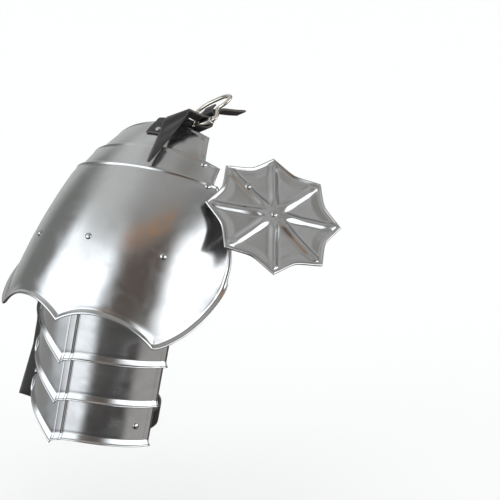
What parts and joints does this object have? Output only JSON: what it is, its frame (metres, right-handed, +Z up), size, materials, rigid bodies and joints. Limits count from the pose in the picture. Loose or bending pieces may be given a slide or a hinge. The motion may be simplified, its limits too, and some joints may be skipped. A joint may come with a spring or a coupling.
{
  "type": "pauldron",
  "caption": "Steel shoulder defence for the right arm: lobed main plate, hinged upper lames, arm lames on leathers, round besagew, and a leather strap with a buckle.",
  "frame": {"origin": "inside the crown of the main plate, where the point of the wearer's shoulder sits", "axes": "+Z up as worn, -X outwards to the wearer's right, -Y to the wearer's front, metres"},
  "size_m": [0.2626, 0.3643, 0.3803],
  "materials": {
    "polished_steel": "hand-polished with fine brushing and a few faint scuffs",
    "rivet_steel": "polished",
    "nickel": "nickel plate, lightly rubbed",
    "black_leather": "satin vegetable-tanned, dyed black"
  },
  "bodies": {
    "shoulder_shell": {"main_plate": "polished_steel", "upper_arm_lame": "polished_steel", "middle_arm_lame": "polished_steel", "lower_arm_lame": "polished_steel", "besagew": "polished_steel", "arm_strap_rivet_front": "rivet_steel", "arm_strap_rivet_rear": "rivet_steel", "besagew_rivet_centre": "rivet_steel", "besagew_strap_rivet_inner": "rivet_steel", "besagew_strap_rivet_outer": "rivet_steel", "lower_lame_rivet_front": "rivet_steel", "lower_lame_rivet_middle": "rivet_steel", "lower_lame_rivet_rear": "rivet_steel", "main_rivet_front": "rivet_steel", "main_rivet_middle": "rivet_steel", "main_rivet_rear": "rivet_steel", "middle_lame_rivet_front": "rivet_steel", "middle_lame_rivet_middle": "rivet_steel", "middle_lame_rivet_rear": "rivet_steel", "pivot_rivet_lower_front": "rivet_steel", "pivot_rivet_lower_rear": "rivet_steel", "upper_lame_rivet_front": "rivet_steel", "upper_lame_rivet_middle": "rivet_steel", "upper_lame_rivet_rear": "rivet_steel", "arm_strap": "black_leather", "front_leather": "black_leather", "middle_leather": "black_leather", "rear_leather": "black_leather", "besagew_strap": "black_leather"},
    "second_lame_group": {"second_lame": "polished_steel", "pivot_rivet_upper_front": "rivet_steel", "pivot_rivet_upper_rear": "rivet_steel"},
    "top_lame_group": {"top_lame": "polished_steel", "shoulder_strap": "black_leather", "shoulder_strap_rivet": "rivet_steel", "buckle_frame": "nickel", "buckle_roller": "nickel", "buckle_prong": "nickel", "buckle_tab": "black_leather"}
  },
  "joints": [
    {"name": "second_lame_pivot", "type": "hinge", "parent": "shoulder_shell", "child": "second_lame_group", "pos_m": [0.04635, -0.1085, 0.0105], "axis": [-0.1127, -0.9834, 0.142], "range_deg": [-4, 4]},
    {"name": "top_lame_pivot", "type": "hinge", "parent": "second_lame_group", "child": "top_lame_group", "pos_m": [0.06097, -0.09402, 0.0299], "axis": [-0.104, -0.978, 0.1806], "range_deg": [-4, 4]}
  ]
}
